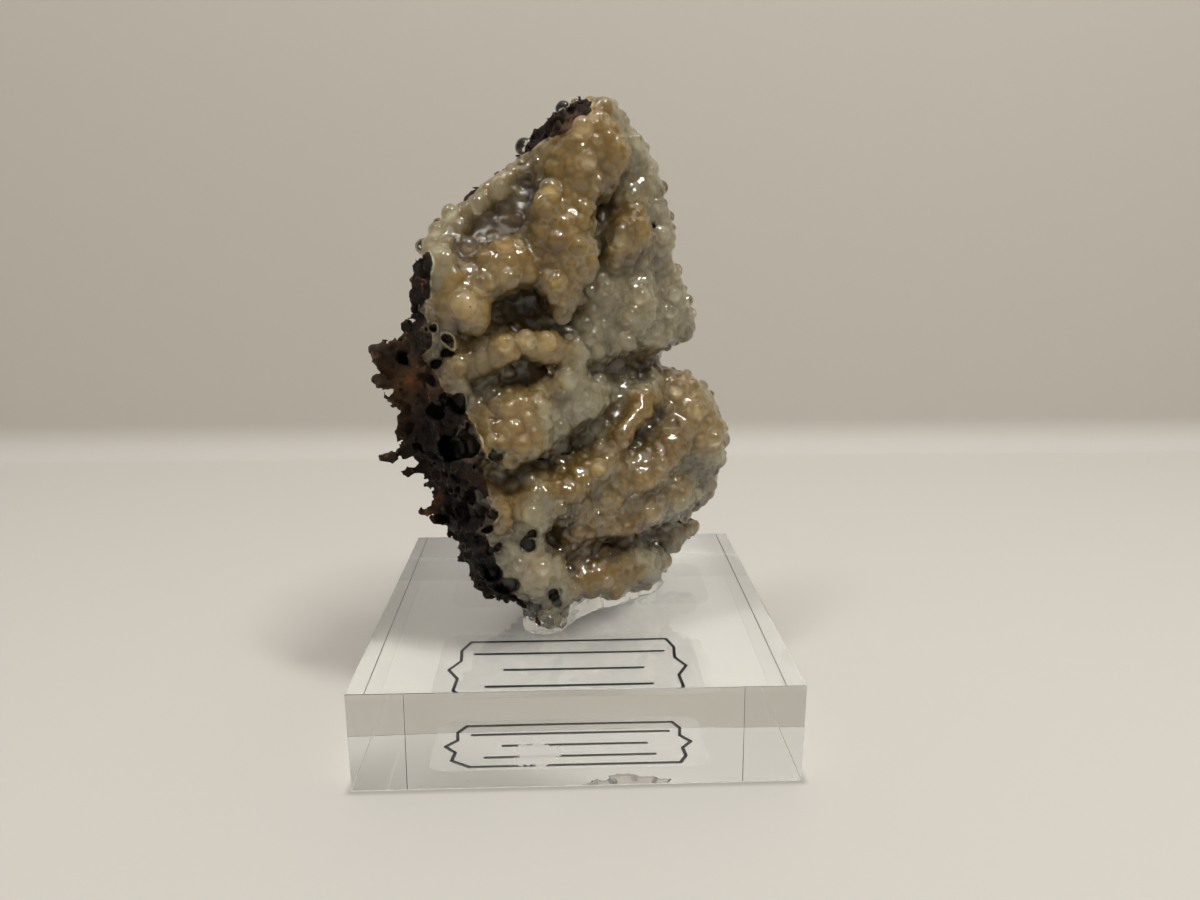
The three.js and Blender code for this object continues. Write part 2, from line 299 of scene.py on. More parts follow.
BEAD_BLEND = 0.16                 # radius that runs a bead or a drop into what it sits on
DROP_TRIES, DROP_CLOSENESS = 2_600, 1.02      # the same for the clear drops
DROP_LIFT = 0.1                   # how far a drop's middle stands off the crust, in radii
RING = 0.14                       # width of the painted highlight rim round a clear drop
TOP_ROOM = 0.3                    # how far beads may pass the frame's solid

# Swellings of the crust, each a row of [u, v, depth, radius]. The depth is how far behind the
# plate's own plane the middle lies on its line of sight.
SWELLS = [
    [[6.4, 58, 1.4, 4.6], [8.1, 60.4, 3.4, 3.1]],                                       # crown
    [[4.4, 60, 3.6, 2.7], [2.4, 57.6, 4, 2.6]],
    [[10.6, 57.4, 4, 3.3], [11.8, 54.4, 4.6, 2.9]],
    [[5.2, 55, 1.2, 4.1], [2.9, 50.6, 0.8, 3.5], [2.3, 48, 0.5, 3.4]],                  # neck
    [[3.5, 45.7, -0.5, 3.9], [1.5, 41.9, -0.1, 3.3]],                                   # knob
    [[-8.4, 44.2, 2.8, 2.7], [-5, 44.2, 1.8, 3.2], [-1.6, 44.6, 1.6, 2.9]],               # shoulder
    [[-9, 41.3, 2, 3.8], [-10.8, 42.4, 4.2, 2.9]],                                      # left dome
    [[-12.6, 47, 6, 1.4], [-9.6, 50, 6, 1.3], [-5.2, 52.8, 6, 1.4], [-2.2, 55.4, 6, 1.4]],  # rim
    [[12.6, 53.2, 4, 3], [10.9, 48, 2.4, 3.5], [11.6, 44.8, 2.8, 3.1]],                 # column
    [[12, 57.4, 5, 1.9], [14.2, 52.5, 4.6, 2.3], [15.4, 47, 4.6, 2.4], [16.7, 42, 5, 2.4],
     [19.2, 37.2, 6, 2.8]],                                                             # right edge
    [[12, 40, 3.6, 4.6], [9.2, 36.8, 3.4, 3.8]],                                        # low field
    [[8, 42.6, 3, 2.8], [6.8, 38.6, 3, 2.6]],
    [[13, 35.4, 3.6, 3.1], [16.4, 38, 4.6, 3.2]],
    [[-9.8, 35.2, 2, 2.3], [-5, 35.3, 0.9, 2.9], [0, 35.4, 0.7, 2.9], [3.2, 35.9, 1.4, 2.6]],
    [[-3, 28.6, 1, 4], [-4, 25.4, 0.7, 4.2], [-5.8, 22.9, 2, 2.8]],                     # lower left
    [[-1.6, 24, 0.9, 3.4]],
    [[2.2, 28, 1.4, 3.5], [2, 25, 1, 2.8]],                                             # cluster
    [[6.2, 26.8, 1.2, 3.1], [4.6, 30.2, 2, 3.2]],
    [[1.2, 31.4, 2.6, 2.7], [9.6, 30, 3.2, 3.3]],
    [[-5.6, 18, 1.8, 2.7], [-1, 18.1, 0.8, 2.6], [4, 19.3, 0.6, 2.6], [8, 21.7, 0.5, 2.7],
     [11.5, 24.9, 0.7, 2.9], [15, 28.3, 1.5, 2.9]],                                     # long ridge
    [[-1.8, 15.4, 0.8, 2.7], [1.6, 16.6, 1.4, 2]],
    [[4.2, 15.4, 0.9, 2.6], [9, 16.4, 0.6, 2.8], [14, 18.4, 0.6, 3.2], [18, 21.8, 0.8, 3.5]],
    [[20.8, 25.6, 2.2, 4.2], [22.8, 21.4, 2.4, 4.5], [24.4, 22.2, 4.8, 3]],               # big lobe
    [[19.2, 27.8, 3, 2.9]],
    [[18.4, 15.4, 1.6, 3.7], [22.4, 16, 4.4, 3.2]],
    [[4.8, 11.8, 1.4, 2.9], [9.5, 12.6, 1.1, 3], [14, 13.4, 1.2, 3], [18.5, 12.2, 3.3, 2.9]],
    [[4.2, 6.3, 1.5, 3], [9, 6, 1.3, 3.4], [13.4, 6, 2, 3.2], [16.6, 6, 4, 2.3]],       # bottom
    [[-3.4, 11.6, 1.5, 3.1], [-1.6, 8.4, 1.1, 3.2], [0.5, 5.2, 1, 2.5], [0.5, 2.4, 1, 1.8]],
    [[19, 8.6, 7, 2.2], [22.4, 9.4, 8, 1.7]],                                           # low lump
    # Low ones that make soft floors: the dish, the recess, the ledge under it, the bottom groove.
    [[-8, 47.2, 7.2, 3], [-4.6, 49.2, 7.4, 3.2], [-1.4, 51.6, 7.4, 3.2], [-0.8, 54.6, 6.8, 2.6]],
    [[-6, 39.2, 4.8, 3], [-3, 40, 4.4, 3.2], [0, 40.2, 4.4, 3]],
    [[-6, 32.2, 1.4, 2.2], [-1, 32.8, 1.2, 2.5], [3, 33.2, 1.4, 2.5], [7, 33, 2.6, 2.4],
     [12, 32.4, 4, 2.6]],
    [[4, 9.4, 2.8, 2], [9, 9.3, 2.6, 2], [14, 9.6, 3, 2]],
]

# The corners of the stone's outline from the viewpoint, where the plate is broken off short: [v, u].
LEFT_OUTLINE = [
    [37.4, -18.2], [40.2, -16.2], [41.8, -14.8], [48.5, -14], [52.7, -8.8], [55.6, -3.2], [60, 0],
    [63.3, 6.2],
]
RIGHT_OUTLINE = [[21.7, 29.4], [24.4, 27.4], [27.7, 25.7], [30.5, 22.4], [31.9, 18]]
OUTLINE_SLANT = 0.75              # how squarely the outline's planes meet the measure across

# Hollows between the swellings, written in the same way.
VALLEYS = [
    [[-9, 47.6, 2.4, 1.2], [-6.4, 49.4, 2.4, 1.6], [-3.8, 51.2, 2.4, 1.8], [-1.6, 53, 2.6, 1.4]],
    [[7.3, 47.4, 1.4, 1.1], [8.3, 49.8, 1.5, 1.4], [9.6, 52, 1.8, 1.2]],
    [[-7.2, 38.6, 1, 1.2], [-4.4, 39.8, 1, 1.7], [-1.6, 40.1, 0.9, 1.7], [2, 37.9, 0.6, 0.9],
     [6, 38.8, 1.2, 0.7]],
    [[-7.4, 31.9, -0.2, 1.1], [-3, 32.7, -0.2, 1.2], [0.6, 33.4, 0.4, 0.9]],
    [[7.4, 32.7, 0.6, 1], [11, 32.2, 1.4, 1.2], [15, 32.4, 2, 1.2]],
    [[-6, 20.8, -0.3, 1.2], [2, 22, -0.7, 1.4], [7.5, 24.2, -0.7, 1.3], [11, 28, 0, 1]],
    [[13.4, 22.4, -0.9, 1.1], [16.8, 26, -0.3, 0.9]],
    [[5.5, 9.4, -0.4, 1.2], [10, 9.3, -0.5, 1.1], [16, 9.4, 0.6, 1.3], [20, 10.4, 3, 1.3]],
]

# Thin broken points of bare matrix: [u, v] of the root, then of the tip, and their depth.
SPIKES = [
    [-16.4, 35.6, -21, 36.4, 9.5], [-16, 33.8, -19.9, 33, 9.5], [-15, 31.6, -18, 30.8, 10],
    [-14.6, 26.4, -19.4, 25.4, 9.5], [-13.6, 24, -17, 23.2, 10], [-12.4, 19, -15.2, 18.4, 9],
    [-11.6, 17, -14, 16.8, 10], [-10.6, 15, -13.2, 13.4, 9.5], [-9.4, 13, -11.2, 12.6, 9],
    [-6.4, 8.2, -7.2, 6.2, 7], [-4.6, 7, -5, 5.2, 6.5], [-13.6, 38, -16, 39.2, 6],
    [-3, 4.6, -3.6, 4, 4],
]
SPIKE_ROOT, SPIKE_TIP, SPIKE_BLEND = 1.5, 0.2, 0.8

# Where the crust ends at the broken left edge: [height, across].
CRUST_BORDER = [
    [0, 0.2], [3, -1.4], [6, -4.6], [10, -6.2], [15, -6.9], [20, -7.4], [25, -8.6], [29, -8.9],
    [32, -11.4], [36, -12.4], [40, -12.6], [44, -12.2], [48, -12.4], [51, -10.4], [54, -6.8],
    [57.5, 1.1], [60.6, 4.7], [62.7, 7.1],
]
CRUST_WRAP = [[0, 7], [10, 7.5], [20, 9.6], [40, 9.2], [52, 8.2], [64, 6.4]]   # [height, depth]

# Holes: [u, v, radius, depth, width of the pale rim].
HOLES = [
    [-9.7, 25.3, 1.75, 5, 0.18], [-11.4, 25.2, 1.6, 5, 0], [-9.1, 27.3, 0.5, 1.6, 0.18],
    [-6.2, 23.6, 0.75, 2.2, 0.1], [-9, 19.2, 1, 3, 0], [-8.4, 17.4, 1.1, 3.4, 0],
    [-10.4, 17.4, 1.3, 3.4, 0], [-7.6, 14.9, 0.55, 1.4, 0.18], [-6.9, 16.4, 0.6, 1.8, 0.18],
    [-2.6, 12.4, 0.75, 1.4, 0.1], [-1.7, 12.9, 0.6, 1.4, 0.1], [-2, 11.6, 0.65, 1.4, 0.1],
    [-7.2, 11.8, 0.5, 1, 0], [-6.2, 12, 0.5, 1, 0.1], [-7, 9.4, 1.1, 3, 0],
    [-5, 7.2, 1.15, 3.2, 0.1], [-1.4, 3.4, 0.7, 2, 0.1], [-1.9, 2.6, 0.8, 2, 0],
    [1.3, 4.5, 0.8, 1.8, 0.1], [1.8, 3.6, 0.7, 1.8, 0], [-11.6, 35.9, 0.75, 1.6, 0],
    [-12.9, 35, 0.8, 1.8, 0], [-11.4, 37.2, 0.45, 0.8, 0.18], [-13, 38.3, 0.5, 1, 0.18],
    [-10.4, 30.2, 0.9, 2, 0], [-11.8, 30.9, 0.8, 2, 0], [-13.2, 29.6, 1.2, 3, 0],
    [-16.4, 35.6, 0.7, 1.6, 0], [-14.2, 33, 1.3, 1.6, 0], [16, 49.6, 0.4, 0.8, 0],
]

# Large single beads: [u, v, radius].
LARGE_BEADS = [
    [12.6, 38.8, 1.05], [12, 35.8, 1.15], [15.6, 45, 1.15], [15.9, 39, 0.95], [1.4, 53.2, 1.2],
    [6.5, 56.8, 0.95], [-7.3, 43.2, 1.25], [-6.4, 42.4, 1.2], [-4, 43.8, 1.2], [-9.4, 41, 1.6],
    [-4.3, 47.2, 0.95], [-8.8, 47, 1.2], [11, 48.2, 1.7], [11, 45.6, 1.2], [3.4, 62, 1], [5.8, 60, 1.2],
    [-7.2, 36, 1.3], [-4.6, 36.4, 1], [-2, 36.6, 1.1], [0.7, 36.3, 1.1], [2.6, 35.9, 1],
    [1.7, 24.3, 1.5], [-2.6, 20.7, 1.3], [-4.3, 23, 1.1], [7.6, 25.6, 1.1], [3.4, 31.6, 1.3],
    [-1.7, 16, 1.4], [2, 16, 1], [7.4, 13.8, 1.15], [16, 12.8, 1.2], [11, 14.8, 0.9],
    [3, 7.2, 1.2], [5.2, 6.4, 1.1], [9.2, 7.5, 1.3], [12, 6.6, 1.1], [14.4, 6.8, 1.2],
    [20.2, 28.6, 1.3], [23.4, 25.8, 1.2], [19.5, 24, 1.2], [26, 21.6, 1.3], [23.4, 15, 1.3],
    [4.6, 40.6, 0.9], [3, 39.4, 1], [0.8, 39, 1.1], [-0.8, 40, 0.9], [2.2, 43.2, 1.1],
    [20.6, 36.4, 1.3], [18.8, 41.2, 1], [17.3, 45, 0.95], [17.2, 48.4, 0.9], [16.2, 52, 0.9],
    [-12, 48.6, 1.1], [-10.4, 50.4, 1.1], [-7.4, 51.6, 1.2], [-4.8, 53.3, 1.2], [-1.4, 57.6, 1.1],
]

# Stains, clear patches and painted shade over the crust: finish, then [u, v, reach] for each.
TINTS = {
    "honey": [
        [7, 59, 4.5], [4, 55, 4.5], [10, 56, 4], [3.4, 49.5, 3], [1, 45.6, 4], [-4, 46, 4],
        [2.6, 42, 3], [-8.5, 41.5, 3.4], [12, 50.5, 2.4], [12, 46.6, 2.8], [-6, 36, 4],
        [0, 36, 4], [-4, 27, 4.6], [-4.6, 23, 4], [11.5, 22, 4], [6, 18.6, 4], [14.6, 27, 3.4],
        [20.5, 27, 4], [18, 18, 4.6], [12.5, 17, 4], [23.6, 23, 3.5], [5.5, 13, 4.4],
        [8, 10.5, 5], [12.6, 11.2, 4], [10, 6, 4.6], [4.6, 7.4, 3], [12.6, 33, 2.2], [1, 31, 2],
        [-4, 17, 3], [2, 19.4, 3.4],
    ],
    "grey": [
        [10, 41.6, 3.4], [13.6, 38.6, 4.6], [8.6, 34.6, 4], [18.6, 40, 3.6], [19.8, 36.4, 3],
        [16.6, 50.4, 2.6], [18, 46, 2.4], [15.6, 57, 3], [12.8, 60, 2.4], [9, 52, 1.6],
        [3.4, 27.4, 3.2], [6.6, 29, 4], [7.6, 25, 2], [10.6, 31.4, 3.6], [16.2, 30, 2],
        [17.4, 26, 1.4], [25.4, 17.6, 3], [20.6, 11.5, 3], [9.6, 19, 1.5], [7.2, 16.4, 1.6],
        [12.4, 19.6, 1.2], [-1, 16.4, 2.2], [-2, 9.6, 3.6], [1.4, 6.4, 2.6], [-5, 11, 2.4],
        [16.4, 6.4, 2.4], [-13, 44.8, 2], [1, 60, 2], [-11, 48, 2], [4, 38.6, 1.4],
        [-0.6, 53, 1.6], [0.4, 27, 2], [-8.6, 31.6, 2],
    ],
    "pale": [
        [-5, 54, 2.2], [-7.4, 52.4, 1.8], [-12.4, 48.4, 2], [0.4, 59.4, 1.5], [-9.2, 41.2, 2.2],
        [-5.4, 43.6, 2.4], [-7, 36, 2.2], [-1.4, 36.4, 2.4], [12, 35.8, 1.4], [12.6, 38.8, 1.2],
        [15.6, 45, 1.4], [11.4, 46, 2], [-3.4, 28, 2.6], [-2.6, 21, 1.8], [21.4, 29, 2.4],
        [22, 26, 3], [24, 22, 3], [15, 19.6, 3.4], [17, 14, 3], [16.4, 48, 2.4], [12.6, 41, 2.4],
        [5, 60.6, 1.8], [6.4, 56.6, 1.2], [-9.2, 23.4, 0.8], [-7.4, 14.6, 1.5], [-1.2, 8, 2.4],
    ],
    "stain": [
        [-15.6, 34.4, 2.6], [-17.4, 32.6, 2.6], [-13.6, 33, 2.4], [-16.4, 37.4, 1.8],
        [-6.2, 23.4, 0.9], [2.4, 47, 1.6], [0.4, 45.4, 1.4], [7.6, 49.4, 1.4], [18.4, 31.6, 1.8],
        [17.6, 28.6, 1.2], [4.4, 12.6, 3], [8, 10.6, 4], [13, 10.6, 4], [11, 23.4, 1.6],
        [18, 20.6, 2.4], [4.6, 60.4, 1.4], [-7.6, 21, 1.6], [-8, 46, 2.4], [20, 23.6, 1.2],
    ],
    "orange": [
        [-0.9, 11.7, 0.8], [-20.9, 36.2, 0.8], [-18.8, 26, 0.7], [-14.8, 17.6, 0.9],
        [-13.6, 19.6, 0.8], [0.2, 2.9, 0.7], [2.4, 2.6, 0.6], [-1, 1.9, 0.6], [-11.6, 37, 0.6],
        [-15.6, 33.4, 1], [-13.4, 14.4, 0.8],
    ],
    # Painted shade in the hollows, under the rim and along the valleys.
    "dim": [
        [-6, 49, 3], [-2.4, 50.6, 2.8], [-9.6, 46.9, 1.8], [-0.8, 53, 2], [8.2, 50.4, 1.8],
        [-8, 48.6, 2.2], [-4, 51.6, 2], [-1.6, 54.4, 1.6],
        [-4.4, 40, 2], [-1, 40, 1.8], [-8, 37.9, 1.2], [1.6, 37.4, 1.2], [5.6, 40.6, 1.6],
        [11, 32.4, 1.4], [14.6, 32.6, 1.6], [-6.6, 31.8, 0.8],
        [0.4, 21.8, 1.2], [5.4, 23, 1.2], [10, 26.4, 1.2], [14, 23.4, 1], [17, 26.6, 1.2],
        [6, 9.4, 1.6], [10, 9.2, 1.6], [15, 9.4, 1.8], [3, 13.6, 1.2],
    ],
    "black": [
        [-11.8, 30.4, 2], [-14, 26.4, 3], [-11, 25, 2.4], [-9, 18.4, 2.2], [-10.6, 15.6, 2],
        [-8.4, 11.4, 2.2], [-7.4, 8.8, 1.6], [-5.2, 6.4, 1.7], [-2, 2.8, 1], [1.4, 4, 1.2],
        [-17, 36.2, 1.6], [-19.4, 33, 1.6], [-13.6, 48, 1], [-14.6, 45.6, 1], [20.6, 9.6, 1.2],
        [22, 9, 1.2], [14.8, 31.6, 1.2], [10, 31.8, 1.2],
    ],
}


def crust_share(points, rough):
    """1 on the crust and 0 on bare matrix, at points in the plate's frame."""
    x, y, z = points
    across = x - read_off(CRUST_BORDER, z) + 1.1 * rough
    behind = y - read_off(CRUST_WRAP, z) + 1.4 * rough
    return eased(-0.5, 0.5, across) * (1 - eased(-0.7, 0.7, behind))


class Sight:
    """Finds places on the stone along the line of sight through the plate's plane."""

    def __init__(self, field, lattice):
        self.field, self.lattice = field, lattice
        self.eye = np.array(TO_PLATE @ Vector(np.array(EYE) * MM))

    def at_depth(self, u, v, depth):
        """The point of a line of sight that lies a depth behind the plate's plane."""
        target = np.array([u, 0, v])
        return self.eye + (target - self.eye) * (1 - depth / self.eye[1])

    def on_stone(self, u, v):
        """The first point of the stone on the line of sight, and the direction of sight."""
        target = np.array([u, 0, v])
        ahead = (target - self.eye) / np.linalg.norm(target - self.eye)
        steps = np.arange(-9, 24, 0.5 * CELL)
        points = target + steps[:, None] * ahead
        depths = self.lattice.read(self.field, points)
        struck = int(np.argmax(depths < 0)) if (depths < 0).any() else int(np.argmin(depths))
        return points[struck], ahead


def facing(field, lattice, points):
    """The outward direction of a field at points."""
    slopes = np.array([
        lattice.read(field, points + offset) - lattice.read(field, points - offset)
        for offset in np.eye(3) * CELL
    ]).T
    return slopes / np.maximum(np.linalg.norm(slopes, axis=1, keepdims=True), 1e-6)


def strewn(points, radii, closeness):
    """Indices of points that stand clear of each other by a share of their radii, in their order."""
    cells = {}
    size = 2 * float(radii.max()) * closeness
    kept = []
    for index, (point, radius) in enumerate(zip(points, radii)):
        home = tuple(int(c // size) for c in point)
        near = (
            other
            for step in np.ndindex(3, 3, 3)
            for other in cells.get((home[0] + step[0] - 1, home[1] + step[1] - 1,
                                    home[2] + step[2] - 1), ())
        )
        if all(
            math.dist(point, points[other]) > closeness * (radius + radii[other]) for other in near
        ):
            kept.append(index)
            cells.setdefault(home, []).append(index)
    return kept


class Stone:
    """The specimen's field and what its finish needs to know of it."""

    def __init__(self):
        self.chance = np.random.RandomState(29)
        self.lattice = Lattice(*plate_box("smithsonite"))
        self.rough = 0.6 * self.lattice.noise(3, 2.6) + 0.4 * self.lattice.noise(4, 1.1)
        x, y, z = self.lattice.axes()
        self.crust = crust_share((x, y, z), self.rough).astype(np.float32)
        solid = node_field("smithsonite", self.lattice)
        self.base = blurred(solid, SMOOTHING) + SHRINK * self.crust
        self.sight = Sight(self.base, self.lattice)
        self.wander = [WANDER * self.lattice.noise(40 + axis, WANDER_SIZE) for axis in range(3)]
        self.fray = [FRAY * self.lattice.noise(50 + axis, FRAY_SIZE) for axis in range(3)]
        self.grow_swellings()
        self.field = self.base.copy()
        self.bead_of = np.full(self.lattice.shape, -1, np.int32)
        self.nearest = np.full(self.lattice.shape, BAND, np.float32)
        self.second = np.full(self.lattice.shape, BAND, np.float32)
        self.ring = np.zeros(self.lattice.shape, np.float32)
        self.hole_share = np.zeros(self.lattice.shape, np.float32)
        self.rim_share = np.zeros(self.lattice.shape, np.float32)

    def grow_swellings(self):
        """The plate cut back to the crust's floor, with the swellings grown on it."""
        x, y, z = self.lattice.axes()
        inland = eased(-0.5, 3, x - read_off(CRUST_BORDER, z))
        deep = FLOOR_LOW + (FLOOR - FLOOR_LOW) * eased(31, 36, z)
        floor = UNCUT + (deep - UNCUT) * inland + 0.5 * self.rough
        self.base = np.maximum(self.base, floor - y)
        for rows, sign, blend in ((SWELLS, 1, SWELL_BLEND), (VALLEYS, -1, VALLEY_BLEND)):
            for row in rows:
                middles = [self.sight.at_depth(u, v, depth) for u, v, depth, _ in row]
                radii = [radius for *_, radius in row]
                if len(row) == 1:
                    middles, radii = middles * 2, radii * 2
                for first, last, start, end in zip(middles, middles[1:], radii, radii[1:]):
                    self.run(first, last, start - SHRINK * sign, end - SHRINK * sign, sign, blend)
        for u, v, tip_u, tip_v, depth in SPIKES:
            root = self.sight.at_depth(u, v, depth)
            tip = self.sight.at_depth(tip_u, tip_v, depth)
            self.run(root, tip, SPIKE_ROOT, SPIKE_TIP, 1, SPIKE_BLEND)
        self.base = (self.base + 0.3 * self.rough).astype(np.float32)
        self.trim(LEFT_OUTLINE, 1)
        self.trim(RIGHT_OUTLINE, -1)
        self.sight.field = self.base

    def trim(self, outline, side):
        """Takes off what stands outside an outline; side is 1 for a left edge and -1 for a right."""
        x, y, z = self.lattice.axes()
        eye_x, eye_y, eye_z = self.sight.eye
        scale = eye_y / (eye_y - y)
        u, v = eye_x + (x - eye_x) * scale, eye_z + (z - eye_z) * scale
        beyond = (read_off(outline, v) - u) * side * OUTLINE_SLANT / scale + SHRINK * self.crust
        listed = (v > outline[0][0]) & (v < outline[-1][0])
        self.base = np.where(listed, np.maximum(self.base, beyond), self.base).astype(np.float32)

    def run(self, first, last, start, end, sign, blend):
        """Joins on, or takes out, a rounded stretch between two points."""
        reach = (np.abs(last - first)) / 2 + max(start, end) + blend + 1
        slices, offsets = self.lattice.window((first + last) / 2, reach)
        along = last - first
        length = max(float(along @ along), 1e-6)
        offsets = [
            o + (m - f) + stray[slices]
            for o, m, f, stray in zip(offsets, (first + last) / 2, first, self.wander)
        ]
        share = np.clip(sum(o * a for o, a in zip(offsets, along)) / length, 0, 1)
        away = np.sqrt(sum((o - share * a) ** 2 for o, a in zip(offsets, along)))
        away = away - start - share * (end - start)
        self.base[slices] = sign * joined(sign * self.base[slices], away, blend)

    def roughen_matrix(self):
        """Breaks up the bare matrix: lumps, sharp ridges and many small vugs."""
        lattice = self.lattice
        lumps = 0.6 * lattice.noise(5, 2.4) + 0.4 * lattice.noise(6, 1.1)
        ridges = 0.6 * (1 - 2 * np.abs(lattice.noise(7, 2.1))) + 0.4 * (
            1 - 2 * np.abs(lattice.noise(8, 1)))
        bare = 1 - self.crust
        teeth = 1 - 2 * np.abs(lattice.noise(9, 0.75))
        self.field += bare * (0.3 + 0.7 * lumps - 0.75 * ridges - 0.35 * teeth)
        points = np.array(skin_points(self.field, lattice)[0])
        points = points[self.chance.permutation(len(points))[:VUG_TRIES]]
        points = points[lattice.read(self.crust, points) < 0.3]
        radii = 0.35 + 0.85 * self.chance.random_sample(len(points)) ** 2.2
        for index in strewn(points, radii, VUG_CLOSENESS):
            self.cut(points[index], radii[index])

    def cut(self, middle, radius):
        """A ragged round vug."""
        reach = [1.4 * radius + CELL] * 3
        slices, offsets = self.lattice.window(middle, reach)
        away = np.sqrt(sum((o + f[slices]) ** 2 for o, f in zip(offsets, self.fray)))
        inside = radius - away
        self.field[slices] = np.maximum(self.field[slices], inside)

    def add_beads(self):
        """Beads close together over the crust."""
        lattice = self.lattice
        points = np.array(skin_points(self.base, lattice)[0])
        points = points[self.chance.permutation(len(points))[:BEAD_TRIES]]
        points = points[lattice.read(self.crust, points) > 0.6]
        share = self.chance.random_sample(len(points))
        first = np.arange(len(points)) < LARGER_TRIES
        radii = np.where(first, 0.55 + 0.6 * share ** 1.6, 0.4 + 0.28 * share)
        kept = strewn(points, radii, BEAD_CLOSENESS)
        points, radii = points[kept], radii[kept]
        outward = facing(self.base, lattice, points)
        depth = lattice.read(self.base, points)
        sunk = 0.26 + 0.34 * self.chance.random_sample(len(points))
        middles = points - outward * (depth + sunk * radii)[:, None]
        for index, (middle, radius) in enumerate(zip(middles, radii)):
            slices, offsets = lattice.window(middle, [radius + 3 * CELL] * 3)
            away = np.sqrt(sum(o * o for o in offsets)) - radius
            nearest = self.nearest[slices]
            self.bead_of[slices] = np.where(away < nearest, index, self.bead_of[slices])
            self.second[slices] = np.minimum(self.second[slices], np.maximum(away, nearest))
            self.nearest[slices] = np.minimum(nearest, away)
            self.field[slices] = joined(self.field[slices], away, BEAD_BLEND)
        self.bead_count = len(radii)

    def add_glaze(self):
        """The clear outer layer, with the large single drops and others strewn between."""
        lattice = self.lattice
        self.glaze = blurred(self.field, GLAZE_FLOW) + GLAZE * (1 - 2 * self.crust)
        placed = np.array([self.sight.on_stone(u, v)[0] for u, v, _ in LARGE_BEADS])
        sizes = np.array([radius for *_, radius in LARGE_BEADS])
        points = np.array(skin_points(self.base, lattice)[0])
        points = points[self.chance.permutation(len(points))[:DROP_TRIES]]
        points = points[lattice.read(self.crust, points) > 0.9]
        clearer = self.tint("grey", points) > self.chance.random_sample(len(points)) - 0.25
        points = points[clearer]
        radii = 0.45 + 0.55 * self.chance.random_sample(len(points)) ** 1.6
        points, radii = np.concatenate([placed, points]), np.concatenate([sizes, radii])
        kept = strewn(points, radii, DROP_CLOSENESS)
        points, radii = points[kept], radii[kept]
        outward = facing(self.base, lattice, points)
        surface = lattice.read(self.base, points)
        middles = points + outward * (DROP_LIFT * radii - surface + SHRINK * 0.5)[:, None]
        for middle, radius in zip(middles, radii):
            slices, offsets = lattice.window(middle, [radius + 3 * CELL] * 3)
            offsets = [o + 0.25 * f[slices] for o, f in zip(offsets, self.fray)]
            away = np.sqrt(sum(o * o for o in offsets)) - radius
            self.glaze[slices] = joined(self.glaze[slices], away, BEAD_BLEND)
            # A painted highlight rim round each drop, kept for the crust's colour.
            ring = np.exp(-((away + 0.02) / RING) ** 2)
            self.ring[slices] = np.maximum(self.ring[slices], ring)

    def cut_holes(self):
        """The named holes, each with its pale rim, along the line of sight."""
        for u, v, radius, depth, rim in HOLES:
            start, ahead = self.sight.on_stone(u, v)
            middle = start + ahead * (depth / 2 - 0.6)
            slices, offsets = self.lattice.window(middle, [depth / 2 + radius + 1.2] * 3)
            offsets = [o + f[slices] for o, f in zip(offsets, self.fray)]
            along = sum(o * a for o, a in zip(offsets, ahead))
            away = np.sqrt(np.clip(sum(o * o for o in offsets) - along ** 2, 0, None))
            inside = np.minimum(radius - away, depth / 2 + 0.8 - np.abs(along))
            if rim:
                ring = np.hypot(away - radius - 0.6 * rim, self.base[slices] - SHRINK + 0.1)
                ring = ring - rim * (1 + 0.4 * self.rough[slices])
                self.field[slices] = joined(self.field[slices], ring, 0.2)
                near = 1 - eased(0, 0.35, ring)
                self.rim_share[slices] = np.maximum(self.rim_share[slices], near)
            self.field[slices] = np.maximum(self.field[slices], inside)
            self.glaze[slices] = np.maximum(self.glaze[slices], inside)
            near = eased(-0.35, 0.15, inside)
            self.hole_share[slices] = np.maximum(self.hole_share[slices], near)

    def keep_in_box(self):
        """Nothing passes the solid's box but beads at its far sides, and the foot stays clear."""
        low, high = plate_box("smithsonite")
        for axis, line in enumerate(self.lattice.axes()):
            beyond = np.maximum(low[axis] - line, line - high[axis] - TOP_ROOM)
            self.field = np.maximum(self.field, beyond)
            self.glaze = np.maximum(self.glaze, beyond)
        self.glaze = np.maximum(self.glaze, -(self.field + DIP)).astype(np.float32)

    def tint(self, name, points):
        """How much of a finish shows at points."""
        total = np.zeros(len(points))
        for u, v, reach in TINTS[name]:
            middle = self.sight.on_stone(u, v)[0]
            away = np.linalg.norm(points - middle, axis=1) / reach
            total = np.maximum(total, np.exp(-away ** 2))
        return total

    def gloss(self, points):
        """Where the crust is glassy: its lower ridges, the tongue and the right edge."""
        lower = eased(-34, -22, -points[:, 2])
        right = eased(13, 16, points[:, 0])
        return np.clip(0.25 + 0.75 * np.maximum(lower, right), 0, 1)

